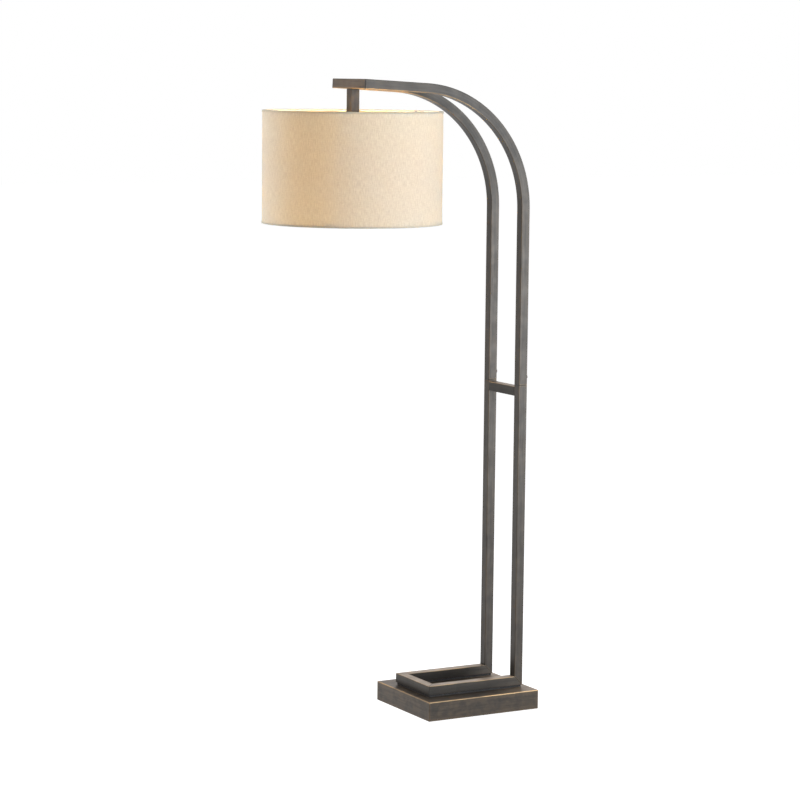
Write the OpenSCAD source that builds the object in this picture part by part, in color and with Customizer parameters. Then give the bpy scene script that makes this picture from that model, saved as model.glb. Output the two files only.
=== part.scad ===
// Bridge floor lamp. A U-shaped floor ring of square tube stands on a packing strip on a weighted
// base. A post rises from each rear end of the ring, an upper tube sleeves on to each post and
// bends over in a wide arc, and a cross member joins the two at the head. A square stem hangs
// from it and carries the socket, the bulb and a drum shade.
// Frame: origin on the floor under the centre of the base, +Z up, posts towards +X, shade
// towards -X. All sizes are in millimetres.

/* [Base] */
// Length of the base, along the reach of the arms
base_l = 330; // [280:1:400]
// Width of the base
base_w = 280; // [230:1:340]
// Height of the base, with its floor pad
base_h = 51; // [44:1:62]
// Wall of the pressed steel cover
cover_wall = 2; // [1.5:0.1:3]
// Radius of the cover's upright corners and top edges
cover_r = 1.6; // [1:0.1:2]
// Thickness of the felt pad under the base
pad_t = 1; // [1:0.5:3]
// Thickness of the steel plate that closes the base
floor_plate_t = 1.5; // [1.2:0.1:2]
// Thickness of the cast weight's slab
slab_t = 15; // [10:1:18]
// Distance from the base's edge to the slab's edge
slab_inset = 14; // [8:1:16]
// Distance from the base's edge to the weight's legs
leg_inset = 27; // [24:1:30]
// Diameter of the weight's legs
leg_d = 16; // [13:1:18]

/* [Floor ring] */
// Distance from the base's front edge to the ring
ring_front_inset = 28; // [20:1:40]
// Distance from the base's rear edge to the posts' rear faces
ring_rear_inset = 18; // [12:1:30]
// Distance from the base's side to the ring
ring_side_inset = 51.5; // [40:0.5:60]
// Gap between the base and the ring
ring_gap = 5; // [3:0.5:10]
// Distance from the ring's faces to the packing strip in that gap
packing_inset = 3; // [2:0.5:4]

/* [Tube] */
// Outer side of the square tube
tube = 24.4; // [21:0.2:29.2]
// Wall of the square tube
tube_wall = 1.2; // [1:0.1:1.8]
// Outer corner radius of the square tube
tube_r = 1.4; // [1:0.1:4]

/* [Frame] */
// Height of the seam between the posts and the upper tubes above the floor
seam_z = 853; // [700:1:1000]
// Radius of the bend, at the tube's centre line
bend_r = 310; // [250:1:330]
// Angle through which the upper tubes are bent
bend_angle = 87; // [84:0.5:90]
// Distance from the posts to the stem, between centre lines
reach = 462; // [400:1:560]
// Height of the head's centre above the floor
head_z = 1629; // [1350:1:1960]
// Length of each joint insert, half of it in the post
insert_l = 90; // [70:1:120]
// Height of the joint screws above the seam
joint_screw_h = 20; // [12:1:30]
// Distance from the seam down to the top of the cross bar
bar_drop = 5.4; // [0:0.2:20]

/* [Shade] */
// Diameter of the drum shade, over its fabric
shade_d = 457; // [360:1:550]
// Height of the shade
shade_h = 284; // [230:1:345]
// Distance from the head's centre down to the shade's top edge
shade_drop = 67; // [45:1:120]
// Thickness of the linen
fabric_t = 0.8; // [0.5:0.1:1.2]
// Thickness of the translucent liner that the linen is bonded to
liner_t = 0.5; // [0.3:0.1:1]
// Diameter of the shade's ring and spider wire
wire_d = 4; // [3:0.2:5]
// Width of the hem tape outside the shade
hem_w = 5; // [4:0.5:12]
// Thickness of the hem tape
hem_t = 0.5; // [0.3:0.1:0.8]
// Radius at which the spider's arms turn up
spider_flat_r = 62; // [52:1:80]
// Angle of the first spider arm, from the posts' side
spider_turn = 14; // [0:1:119]

/* [Socket] */
// Depth of the stem's end below the shade's top edge
stem_drop = 16; // [8:1:40]
// Diameter of the threaded nipple
nipple_d = 10; // [8:0.5:12]
// Outer diameter of the socket cap and of the threaded sleeve below the flange
sleeve_d = 38; // [36:0.5:46]
// Height of the socket cap
cap_h = 16; // [14:1:22]
// Height of the switch housing
housing_h = 20; // [18:1:26]
// Length of the sleeve below the flange
sleeve_h = 32; // [28:1:40]
// Outer diameter of the lamp cap's metal shell
bulb_cap_d = 26.4; // [22:0.2:28]
// Diameter of the bulb
bulb_d = 60; // [45:1:80]
// Whole length of the bulb
bulb_l = 110; // [95:1:140]
// Diameter of the switch key's spindle
spindle_d = 4; // [3:0.5:6]
// Diameter of the switch key
key_d = 11; // [9:0.5:14]

/* [Wiring] */
// Outer diameter of the lead inside the lamp
lead_d = 5.5; // [4.5:0.1:6]
// Bend radius of the lead at its corners
lead_bend = 22; // [20:0.5:24]
// Height of the lead's inlet above the floor
inlet_z = 14; // [12:0.5:15]

/* [Fits] */
// Gap between pieces that slide together once
fit = 0.3; // [0.2:0.05:0.5]
// Radial gap of a piece that turns on another
run = 0.05; // [0.02:0.01:0.1]
// Gap between skins laid on each other
lay = 0.1; // [0.05:0.05:0.2]

/* [Hidden] */
$fn = 96;

BRONZE = [0.34, 0.30, 0.27];
STEEL = [0.62, 0.63, 0.65];
IRON = [0.25, 0.25, 0.26];
BRASS = [0.78, 0.62, 0.32];
BLACK = [0.10, 0.10, 0.11];
LINEN = [0.88, 0.82, 0.72];
LINER = [0.97, 0.94, 0.86];
GLASS = [1, 1, 1, 0.6];
FILAMENT = [0.95, 0.8, 0.45];

// A little more than any cut needs
over = 1;
// A bend is thicker than its straight ends by skin on each side and covers their tips for tuck,
// so that the lengths are a single solid
skin = 0.02;
tuck = 0.3;

// Ring and posts. NEAR and FAR are the two sides, towards -Y and +Y.
NEAR = -1;
FAR = 1;
SIDES = [NEAR, FAR];
half = tube / 2;
bore = tube - 2 * tube_wall;
bore_r = max(tube_r - tube_wall, 0.2);
frame_w = base_w - 2 * ring_side_inset;
side_y = frame_w / 2 - half;
ring_x0 = ring_front_inset - base_l / 2;
ring_x1 = base_l / 2 - ring_rear_inset;
ring_z0 = base_h + ring_gap;
ring_zc = ring_z0 + half;
post_x = ring_x1 - half;

// Upper frame. The straight arms rise towards the head by what the bend lacks of 90 degrees.
rise = 90 - bend_angle;
stem_port = 2;
head_x = post_x - reach;
arm_l = (reach - bend_r * (1 - cos(bend_angle))) / cos(rise);
bend_z = head_z - arm_l * sin(rise) - bend_r * sin(bend_angle);

// Base
cover_z0 = pad_t;
floor_plate_z1 = cover_z0 + floor_plate_t;
slab_z1 = base_h - cover_wall;
slab_z0 = slab_z1 - slab_t;
slab_l = base_l - 2 * slab_inset;
slab_w = base_w - 2 * slab_inset;
pad_inset = 5;
pad_r = 6;
slab_r = 8;
leg_x = base_l / 2 - leg_inset;
leg_y = base_w / 2 - leg_inset;
floor_screw_d = 5;
floor_screw_head_d = 9;
floor_screw_l = 14;

// Bolts that hold the ring down, clear of its corners, of the lead and of the weight's legs
bolt_d = 8;
bolt_hole_d = bolt_d + 2 * fit;
bolt_head_d = 13;
bolt_head_h = 5.5;
washer_d = 17;
washer_t = 1.6;
bolt_front = 37;
bolt_rear = 53;
bolt_xs = [ring_x0 + bolt_front, ring_x1 - bolt_rear];
rail_nut_h = 6.5;
rail_nut_af = 13;
bolt_tip = 2;
bolt_places = [for (x = bolt_xs, s = SIDES) [x, s * side_y]];

// Lead and its inlet
lead_hole_d = lead_d + 4;
grommet_bore = lead_d + 2 * fit;
grommet_neck_d = lead_d + 7;
grommet_flange_d = grommet_neck_d + 4.5;
grommet_flange_t = 2.4;

// Joint inserts and screws
insert_side = bore - 2 * fit;
insert_wall = 1.5;
joint_screw_d = 6;
joint_screw_head_d = 10;
joint_screw_head_h = 6;
joint_screw_key = 5;
joint_screw_z = seam_z + joint_screw_h;

// Socket stack, downwards from the stem's end
shade_top_z = head_z - shade_drop;
stem_z0 = shade_top_z - stem_drop;
plate_t = 3;
seat_t = 1.5;
seat_w = 3;
cap_z1 = stem_z0 - seat_t;
cap_z0 = cap_z1 - cap_h;
cap_wall = 1.6;
housing_z0 = cap_z0 - housing_h;
housing_d = sleeve_d + 2;
spigot_h = 5;
flange_t = 3;
flange_w = 5;
flange_d = sleeve_d + 2 * flange_w;
flange_z0 = housing_z0 - flange_t;
sleeve_z0 = flange_z0 - sleeve_h;
nut_af = nipple_d + 4;
nut_h = 4;
nipple_up = 8;
nipple_down = 9;
nipple_bore = nipple_d - 3;

// Bulb and its contacts
shell_wall = 0.4;
shell_d = bulb_cap_d + 2 * fit + 2 * shell_wall;
well_d = shell_d + 2 * lay;
well_roof = 2;
well_z1 = flange_z0 - well_roof;
contact_t = 1.2;
contact_d = bulb_cap_d / 3;
bulb_tip_z = well_z1 - contact_t;
bulb_z0 = bulb_tip_z - bulb_l;
bulb_cap_h = 23;
bulb_insulator_h = 3;
bulb_cap_z1 = bulb_tip_z - bulb_insulator_h;
bulb_cap_z0 = bulb_cap_z1 - bulb_cap_h;
glass_t = 0.8;
neck_r = bulb_cap_d / 2 - shell_wall - fit;
neck_in = 8;
glass_turn = 32;
bulb_centre_z = bulb_z0 + bulb_d / 2;
filament_post_d = 6;
filament_d = 2;
filament_l = 34;
filament_low = 14;

// Switch key, square to the lamp's length
key_z = (cap_z0 + housing_z0) / 2;
spindle_in = 12;
key_gap = 1.5;
key_l = 13;
key_collar = 3;
flute_d = 2;

// Shade
shade_r = shade_d / 2;
shade_z0 = shade_top_z - shade_h;
fabric_r0 = shade_r - fabric_t;
liner_r1 = fabric_r0 - lay;
liner_r0 = liner_r1 - liner_t;
ring_wire_r = liner_r0 - lay - wire_d / 2;
panel_z0 = shade_z0 + hem_t + lay;
panel_z1 = shade_top_z - hem_t - lay;
hub_t = 1.6;
hub_gap = 0.1;
hub_z1 = flange_z0 - hub_gap;
hub_z0 = hub_z1 - hub_t;
hub_bore = sleeve_d + 2 * run;
hub_rim = 3;
hub_d = flange_d + 2 * hub_rim;
spider_arms_n = 3;
top_ring_z = panel_z1 - lay - wire_d / 2;
bottom_ring_z = panel_z0 + lay + wire_d / 2;
spider_z = hub_z0 + hub_t / 2;
wire_bend = 10;
ring_nut_h = 7;
ring_nut_d = flange_d + 2;
grip_d = 5;

// ---------- shapes that repeat ----------

// Flat square with round corners
module round_square(l, w, r) {
    square([l - 2 * r, w], center = true);
    square([l, w - 2 * r], center = true);
    for (x = [-1, 1], y = [-1, 1])
        translate([x * (l / 2 - r), y * (w / 2 - r)]) circle(r);
}

// Section of the square tube, with its wall grown on both sides
module tube_section(grow = 0) {
    difference() {
        round_square(tube + 2 * grow, tube + 2 * grow, tube_r + grow);
        round_square(bore - 2 * grow, bore - 2 * grow, bore_r - grow);
    }
}

// Straight tube from the origin, along +X
module tube_x(l) {
    rotate([90, 0, 90]) linear_extrude(l) tube_section();
}

// Block with round upright corners and round top edges, standing on z = 0
module soft_block(l, w, h, r) {
    intersection() {
        linear_extrude(h) round_square(l, w, r);
        translate([0, w / 2, 0]) rotate([90, 0, 0]) linear_extrude(w) arch(l, h, r);
        translate([-l / 2, 0, 0]) rotate([90, 0, 90]) linear_extrude(l) arch(w, h, r);
    }
}

// Rectangle on the X axis whose upper two corners are round
module arch(w, h, r) {
    translate([-w / 2, 0]) square([w, h - r]);
    translate([r - w / 2, 0]) square([w - 2 * r, h]);
    for (x = [-1, 1]) translate([x * (w / 2 - r), h - r]) circle(r);
}

// Ring between two radii and two heights
module band(r0, r1, z0, z1) {
    rotate_extrude() translate([r0, z0]) square([r1 - r0, z1 - z0]);
}

// Wire bent to a hoop
module hoop(r, z) {
    translate([0, 0, z]) rotate_extrude() translate([r, 0]) circle(wire_d / 2, $fn = 24);
}

// Hexagonal nut on the Z axis
module nut(af, h, d) {
    difference() {
        cylinder(d = af / cos(30), h = h, $fn = 6);
        translate([0, 0, -over]) cylinder(d = d, h = h + 2 * over);
    }
}

// Cap screw along +Z: its thread runs down from z = 0 and its head stands on it, with a
// hexagonal socket that is half as deep as the head is high
module cap_screw(d, l, head_d, head_h, key) {
    difference() {
        union() {
            translate([0, 0, -l]) cylinder(d = d, h = l);
            cylinder(d = head_d, h = head_h);
        }
        translate([0, 0, head_h / 2]) cylinder(d = key / cos(30), h = head_h, $fn = 6);
    }
}

// Countersunk screw along +Z: its flat head is at z = 0 and its thread runs up
module flat_screw(d, l, head_d, head_h) {
    cylinder(d1 = head_d, d2 = d, h = head_h);
    cylinder(d = d, h = l);
}

// Everything that the mitre between a side rail's front end and the front rail takes off
module front_mitre(side) {
    translate([ring_x0, side * frame_w / 2, ring_z0 - over]) mirror([0, side > 0 ? 1 : 0, 0])
        linear_extrude(tube + 2 * over)
            polygon([[-over, -over], [-over, tube + over], [tube + over, tube + over]]);
}

// The triangle above the mitre of a rail's rear end, or below it for the post
module rear_mitre(side, of_post) {
    low = [over, -over];
    high = [-tube - over, tube + over];
    third = of_post ? [-tube - over, -over] : [over, tube + over];
    translate([ring_x1, side * side_y + half + over, ring_z0]) rotate([90, 0, 0])
        linear_extrude(tube + 2 * over) polygon([low, high, third]);
}

// Moves a shape to the head, turned so that +X runs back along the rising arms
module at_head() {
    translate([head_x, 0, head_z]) rotate([0, rise, 0]) children();
}

// The triangle past the mitre at the head: off the arm, or off the cross member
module head_mitre(side, of_arm) {
    third = of_arm ? [-over, tube + over] : [tube + over, -over];
    translate([-half, side * frame_w / 2, -half - over]) mirror([0, side > 0 ? 1 : 0, 0])
        linear_extrude(tube + 2 * over)
            polygon([[-over, -over], [tube + over, tube + over], third]);
}

// ---------- base ----------

module floor_pad() color(BLACK)
    linear_extrude(pad_t) round_square(base_l - 2 * pad_inset, base_w - 2 * pad_inset, pad_r);

module floor_plate() color(STEEL)
    difference() {
        translate([0, 0, pad_t]) linear_extrude(floor_plate_t)
            round_square(base_l - 2 * (cover_wall + fit), base_w - 2 * (cover_wall + fit), 1);
        for (x = [-leg_x, leg_x], y = [-leg_y, leg_y])
            translate([x, y, pad_t - lay]) cylinder(d = floor_screw_head_d + 2 * fit,
                h = floor_plate_t + 2 * over);
    }

module floor_plate_screws() color(STEEL)
    for (x = [-leg_x, leg_x], y = [-leg_y, leg_y])
        translate([x, y, pad_t])
            flat_screw(floor_screw_d, floor_screw_l, floor_screw_head_d, floor_plate_t);

module base_weight() color(IRON)
    difference() {
        union() {
            translate([0, 0, slab_z0]) linear_extrude(slab_t) round_square(slab_l, slab_w, slab_r);
            for (x = [-leg_x, leg_x], y = [-leg_y, leg_y])
                translate([x, y, floor_plate_z1])
                    cylinder(d = leg_d, h = slab_z0 - floor_plate_z1 + over);
        }
        for (x = [-leg_x, leg_x], y = [-leg_y, leg_y])
            translate([x, y, 0])
                cylinder(d = floor_screw_d + 2 * lay, h = pad_t + floor_screw_l + over);
        for (p = bolt_places)
            translate([p.x, p.y, slab_z0 - over]) cylinder(d = bolt_hole_d, h = slab_t + 2 * over);
        translate([post_x, FAR * side_y, slab_z0 - over])
            cylinder(d = lead_hole_d, h = slab_t + 2 * over);
    }

module base_cover() color(BRONZE)
    difference() {
        translate([0, 0, cover_z0]) soft_block(base_l, base_w, base_h - cover_z0, cover_r);
        translate([0, 0, cover_z0 - over]) linear_extrude(slab_z1 - cover_z0 + over)
            square([base_l - 2 * cover_wall, base_w - 2 * cover_wall], center = true);
        for (p = bolt_places)
            translate([p.x, p.y, slab_z1 - over]) cylinder(d = bolt_hole_d, h = cover_wall + 2 * over);
        translate([post_x, FAR * side_y, slab_z1 - over])
            cylinder(d = lead_hole_d, h = cover_wall + 2 * over);
        translate([base_l / 2 - cover_wall - over, 0, inlet_z]) rotate([0, 90, 0])
            cylinder(d = grommet_neck_d + 2 * lay, h = cover_wall + 2 * over);
    }

module frame_bolts() color(STEEL)
    for (p = bolt_places) translate([p.x, p.y, slab_z0 - washer_t - bolt_head_h]) {
        cylinder(d = bolt_head_d / cos(30), h = bolt_head_h, $fn = 6);
        cylinder(d = bolt_d, h = bolt_head_h + washer_t + ring_z0 - slab_z0 + tube_wall
            + rail_nut_h + bolt_tip);
    }

module bolt_washers() color(STEEL)
    for (p = bolt_places) translate([p.x, p.y, slab_z0 - washer_t]) difference() {
        cylinder(d = washer_d, h = washer_t);
        translate([0, 0, -over]) cylinder(d = bolt_hole_d, h = washer_t + 2 * over);
    }

// One strip along the three sides of the ring, narrower than the tube
module ring_packing() color(BLACK)
    translate([0, 0, base_h]) linear_extrude(ring_gap) difference() {
        out_w = frame_w - 2 * packing_inset;
        in_w = frame_w - 2 * tube + 2 * packing_inset;
        translate([ring_x0 + packing_inset, -out_w / 2])
            square([ring_x1 - ring_x0 - 2 * packing_inset, out_w]);
        translate([ring_x0 + tube - packing_inset, -in_w / 2]) square([ring_x1 - ring_x0, in_w]);
        for (p = bolt_places) translate(p) circle(d = bolt_hole_d);
        translate([post_x, FAR * side_y]) circle(d = lead_hole_d);
    }

module rail_nuts() color(STEEL)
    for (p = bolt_places) translate([p.x, p.y, ring_z0 + tube_wall])
        nut(rail_nut_af, rail_nut_h, bolt_d + 2 * lay);

module inlet_grommet() color(BLACK)
    translate([base_l / 2 - cover_wall, 0, inlet_z]) rotate([0, 90, 0]) difference() {
        union() {
            translate([0, 0, -grommet_flange_t])
                cylinder(d = grommet_flange_d, h = grommet_flange_t);
            cylinder(d = grommet_neck_d, h = cover_wall);
            translate([0, 0, cover_wall]) cylinder(d = grommet_flange_d, h = grommet_flange_t);
        }
        translate([0, 0, -grommet_flange_t - over])
            cylinder(d = grommet_bore, h = cover_wall + 2 * grommet_flange_t + 2 * over);
    }

// ---------- frame ----------

module front_rail() color(BRONZE)
    intersection() {
        translate([ring_x0 + half, -frame_w / 2, ring_zc]) rotate([0, 0, 90]) tube_x(frame_w);
        translate([ring_x0, 0, ring_z0 - over]) linear_extrude(tube + 2 * over)
            polygon([[0, -frame_w / 2], [0, frame_w / 2], [tube, frame_w / 2 - tube],
                [tube, tube - frame_w / 2]]);
    }

module side_rail(side) {
    difference() {
        translate([ring_x0, side * side_y, ring_zc]) tube_x(ring_x1 - ring_x0);
        front_mitre(side);
        rear_mitre(side, false);
        for (x = bolt_xs) translate([x, side * side_y, ring_z0 - over])
            cylinder(d = bolt_hole_d, h = tube_wall + over + lay);
        if (side == FAR) translate([post_x, side * side_y, ring_z0 - over])
            cylinder(d = lead_hole_d, h = tube_wall + over + lay);
    }
}

module near_rail() color(BRONZE) side_rail(NEAR);

module far_rail() color(BRONZE) side_rail(FAR);

module lower_post(side) {
    difference() {
        translate([post_x, side * side_y, ring_z0]) linear_extrude(seam_z - ring_z0) tube_section();
        rear_mitre(side, true);
    }
}

module near_lower_post() color(BRONZE) lower_post(NEAR);

module far_lower_post() color(BRONZE) lower_post(FAR);

module cross_bar() color(BRONZE)
    translate([post_x, half - side_y, seam_z - bar_drop - half]) rotate([0, 0, 90])
        tube_x(2 * side_y - tube);

module joint_insert(side) {
    translate([post_x, side * side_y, seam_z - insert_l / 2]) difference() {
        linear_extrude(insert_l) difference() {
            round_square(insert_side, insert_side, bore_r);
            square(insert_side - 2 * insert_wall, center = true);
        }
        translate([0, 0, insert_l / 2 + joint_screw_h]) rotate([0, 90, 0])
            cylinder(d = joint_screw_d + 2 * lay, h = tube);
    }
}

module near_joint_insert() color(STEEL) joint_insert(NEAR);

module far_joint_insert() color(STEEL) joint_insert(FAR);

module joint_screws() color(BRONZE)
    for (s = SIDES) translate([ring_x1, s * side_y, joint_screw_z]) rotate([0, 90, 0])
        cap_screw(joint_screw_d, tube_wall + fit + insert_wall + over, joint_screw_head_d,
            joint_screw_head_h, joint_screw_key);

module upper_tube(side) {
    difference() {
        union() {
            translate([post_x, side * side_y, seam_z]) linear_extrude(bend_z - seam_z + tuck)
                tube_section();
            translate([post_x - bend_r, side * side_y, bend_z]) rotate([90, 0, 0])
                rotate_extrude(angle = bend_angle, $fn = 180) translate([bend_r, 0])
                    tube_section(skin);
            at_head() translate([-half, side * side_y, 0]) tube_x(arm_l + half + tuck);
        }
        at_head() head_mitre(side, true);
        translate([post_x, side * side_y, joint_screw_z]) rotate([0, 90, 0])
            cylinder(d = joint_screw_d + 2 * lay, h = tube);
    }
}

module near_upper_tube() color(BRONZE) upper_tube(NEAR);

module far_upper_tube() color(BRONZE) upper_tube(FAR);

module head_cross_member() color(BRONZE)
    at_head() difference() {
        translate([0, -frame_w / 2, 0]) rotate([0, 0, 90]) tube_x(frame_w);
        for (s = SIDES) head_mitre(s, false);
        translate([0, 0, -half - over]) cylinder(d = bore - 2 * stem_port, h = tube_wall + over + lay);
    }

module stem() color(BRONZE)
    difference() {
        translate([head_x, 0, stem_z0]) linear_extrude(head_z - stem_z0) tube_section();
        at_head() translate([-tube, -tube, -half]) cube(2 * tube);
    }

// ---------- socket ----------

module stem_end_plate() color(STEEL)
    translate([head_x, 0, stem_z0]) linear_extrude(plate_t) difference() {
        round_square(bore - 2 * lay, bore - 2 * lay, bore_r);
        circle(d = nipple_d + 2 * lay);
    }

module socket_nipple() color(BRASS)
    translate([head_x, 0, cap_z1 - nipple_down]) difference() {
        h = nipple_down + seat_t + plate_t + nipple_up;
        cylinder(d = nipple_d, h = h);
        translate([0, 0, -over]) cylinder(d = nipple_bore, h = h + 2 * over);
    }

module nipple_nuts() color(BRASS)
    for (z = [stem_z0 + plate_t, cap_z1 - cap_wall - nut_h])
        translate([head_x, 0, z]) nut(nut_af, nut_h, nipple_d + 2 * lay);

module seat_washer() color(BLACK)
    translate([head_x, 0, 0]) band(nipple_d / 2 + fit, sleeve_d / 2 - seat_w, cap_z1, stem_z0);

module socket_cap() color(BLACK)
    translate([head_x, 0, 0]) {
        band(nipple_d / 2 + fit, sleeve_d / 2 - over, cap_z1 - cap_wall, cap_z1);
        band(sleeve_d / 2 - cap_wall, sleeve_d / 2, cap_z0, cap_z1 - over);
    }

module socket_body() color(BLACK)
    translate([head_x, 0, 0]) difference() {
        union() {
            cylinder_between(sleeve_d - 2 * cap_wall - 2 * lay, housing_z0, cap_z0 + spigot_h);
            cylinder_between(housing_d, housing_z0, cap_z0);
            cylinder_between(flange_d, flange_z0, housing_z0 + lay);
            cylinder_between(sleeve_d, sleeve_z0, flange_z0 + lay);
        }
        cylinder_between(well_d, sleeve_z0 - over, well_z1);
        translate([0, 0, key_z]) rotate([90, 0, 0]) cylinder(d = spindle_d + 2 * run, h = housing_d);
    }

// Upright cylinder between two heights
module cylinder_between(d, z0, z1) {
    translate([0, 0, z0]) cylinder(d = d, h = z1 - z0);
}

module screw_shell() color(BRASS)
    translate([head_x, 0, 0])
        band(shell_d / 2 - shell_wall, shell_d / 2, sleeve_z0 + over, well_z1 - 2 * over);

module centre_contact() color(BRASS)
    translate([head_x, 0, 0]) cylinder_between(contact_d, well_z1 - contact_t, well_z1);

module switch_key() color(BRASS)
    translate([head_x, 0, key_z]) rotate([90, 0, 0]) {
        translate([0, 0, housing_d / 2 - spindle_in])
            cylinder(d = spindle_d, h = spindle_in + key_gap + over);
        translate([0, 0, housing_d / 2 + key_gap]) difference() {
            cylinder(d = key_d, h = key_l);
            for (a = [0 : 30 : 330]) rotate([0, 0, a])
                translate([key_d / 2 + flute_d / 5, 0, key_collar])
                    cylinder(d = flute_d, h = key_l, $fn = 16);
        }
    }

module shade_ring_nut() color(BLACK)
    translate([head_x, 0, 0]) difference() {
        band(sleeve_d / 2 + lay, ring_nut_d / 2, hub_z0 - hub_gap - ring_nut_h, hub_z0 - hub_gap);
        for (a = [0 : 30 : 330]) rotate([0, 0, a])
            translate([ring_nut_d / 2 + grip_d / 5, 0, hub_z0 - hub_gap - ring_nut_h - over])
                cylinder(d = grip_d, h = ring_nut_h - over, $fn = 24);
    }

// ---------- bulb ----------

// Half outline of the bulb's glass: a ball, then a straight shoulder up to the neck
function glass_line(r, neck, z1) =
    let (shoulder = (r * cos(glass_turn) - neck) / sin(glass_turn))
    concat([for (i = [0 : 16]) let (a = i * (90 + glass_turn) / 16 - 90)
            [max(r * cos(a), 0), r * sin(a)]],
        [[neck, r * sin(glass_turn) + shoulder * cos(glass_turn)], [neck, z1], [0, z1]]);

module bulb_glass() color(GLASS)
    translate([head_x, 0, bulb_centre_z]) difference() {
        top = bulb_cap_z0 + neck_in - bulb_centre_z;
        rotate_extrude() polygon(glass_line(bulb_d / 2, neck_r, top));
        rotate_extrude() polygon(glass_line(bulb_d / 2 - glass_t, neck_r - glass_t, top + over));
    }

module bulb_cap() color(BRASS)
    translate([head_x, 0, 0]) difference() {
        cylinder_between(bulb_cap_d, bulb_cap_z0, bulb_cap_z1);
        cylinder_between(bulb_cap_d - 2 * shell_wall, bulb_cap_z0 - over, bulb_cap_z1 - over);
    }

module bulb_insulator() color(BLACK)
    translate([head_x, 0, bulb_cap_z1]) {
        cylinder(d1 = bulb_cap_d - 2, d2 = bulb_cap_d / 2, h = bulb_insulator_h - over);
        cylinder(d = contact_d, h = bulb_insulator_h);
    }

module bulb_filament() color(FILAMENT)
    translate([head_x, 0, 0]) {
        disc_z = bulb_centre_z + filament_low;
        cylinder_between(filament_post_d, disc_z, bulb_cap_z1 - over);
        cylinder_between(2 * (filament_post_d + filament_d), disc_z, disc_z + filament_d);
        for (a = [0 : 90 : 270]) rotate([0, 0, a])
            translate([filament_post_d, 0, bulb_centre_z - filament_low])
                cylinder(d = filament_d, h = filament_l);
    }

// ---------- shade ----------

module spider_hub() color(STEEL)
    translate([head_x, 0, 0]) band(hub_bore / 2, hub_d / 2, hub_z0, hub_z1);

// One bent wire: flat out from the hub, round an elbow, then up to the top ring
module spider_arm() {
    foot_r = hub_d / 2;
    tip = [ring_wire_r - wire_d / 2 - fit, top_ring_z];
    slope = atan2(tip.y - spider_z, tip.x - spider_flat_r);
    knee = wire_bend * tan(slope / 2);
    translate([foot_r, 0, spider_z]) rotate([0, 90, 0])
        cylinder(d = wire_d, h = spider_flat_r - knee - foot_r + tuck);
    translate([spider_flat_r - knee, 0, spider_z + wire_bend]) rotate([90, 0, 0])
        rotate([0, 0, -90]) rotate_extrude(angle = slope)
            translate([wire_bend, 0]) circle(d = wire_d + 2 * skin);
    translate([spider_flat_r, 0, spider_z]) rotate([0, 90 - slope, 0])
        translate([0, 0, knee - tuck])
            cylinder(d = wire_d, h = norm(tip - [spider_flat_r, spider_z]) - knee + tuck);
}

module spider_arms() color(STEEL)
    translate([head_x, 0, 0]) for (i = [0 : spider_arms_n - 1])
        rotate([0, 0, spider_turn + i * 360 / spider_arms_n]) spider_arm();

module shade_top_ring() color(STEEL)
    translate([head_x, 0, 0]) hoop(ring_wire_r, top_ring_z);

module shade_bottom_ring() color(STEEL)
    translate([head_x, 0, 0]) hoop(ring_wire_r, bottom_ring_z);

module shade_liner() color(LINER)
    translate([head_x, 0, 0]) band(liner_r0, liner_r1, panel_z0, panel_z1);

module shade_fabric() color(LINEN)
    translate([head_x, 0, 0]) band(fabric_r0, shade_r, panel_z0, panel_z1);

// Tape folded over an edge, from the outside of the panel across the ring wire
module hem() {
    in_r = ring_wire_r - wire_d / 2;
    rotate_extrude() {
        translate([in_r, 0]) square([shade_r + lay + hem_t - in_r, hem_t]);
        translate([shade_r + lay, 0]) square([hem_t, hem_w]);
    }
}

module shade_top_hem() color(LINEN)
    translate([head_x, 0, shade_top_z]) mirror([0, 0, 1]) hem();

module shade_bottom_hem() color(LINEN)
    translate([head_x, 0, shade_z0]) hem();

// ---------- lead ----------

// Points of an arc about c that starts in direction u and turns towards v, in n steps
function arc_points(c, u, v, r, turn, n) =
    [for (i = [0 : n]) let (a = turn * i / n) c + r * cos(a) * u + r * sin(a) * v];

lead_top = cap_z1 - nipple_down - over;
lead_y = FAR * side_y;
X = [1, 0, 0];
Y = [0, 1, 0];
Z = [0, 0, 1];
// Along the arms from the bend to the head, and square to them in the bend's plane
ARM = [-cos(rise), 0, sin(rise)];
corner_steps = 5;
bend_steps = 16;
// From the inlet over the floor plate to the far post, up it, round the bend, and through the
// cross member down the stem to the socket
lead_route = concat(
    [[base_l / 2 + grommet_flange_t, 0, inlet_z]],
    arc_points([post_x + lead_bend, lead_bend, inlet_z], -Y, -X, lead_bend, 90, corner_steps),
    arc_points([post_x, lead_y - lead_bend, inlet_z + lead_bend], -Z, Y, lead_bend, 90,
        corner_steps),
    arc_points([post_x - bend_r, lead_y, bend_z], X, Z, bend_r, bend_angle, bend_steps),
    arc_points([head_x, lead_y - lead_bend, head_z] - lead_bend * ARM, Y, ARM, lead_bend, 90,
        corner_steps),
    arc_points([head_x, lead_bend, head_z - lead_bend], Z, -Y, lead_bend, 90, corner_steps),
    [[head_x, 0, lead_top]]);

function unit(v) = v / norm(v);

// Direction of the route at point i
function lead_dir(i) =
    unit(lead_route[min(i + 1, len(lead_route) - 1)] - lead_route[max(i - 1, 0)]);

// Normals carried along the route without twist
function lead_normals(i, n) =
    let (t = lead_dir(i), m = unit(n - (n * t) * t))
    i == len(lead_route) - 1 ? [m] : concat([m], lead_normals(i + 1, m));

lead_sides = 8;

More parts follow.
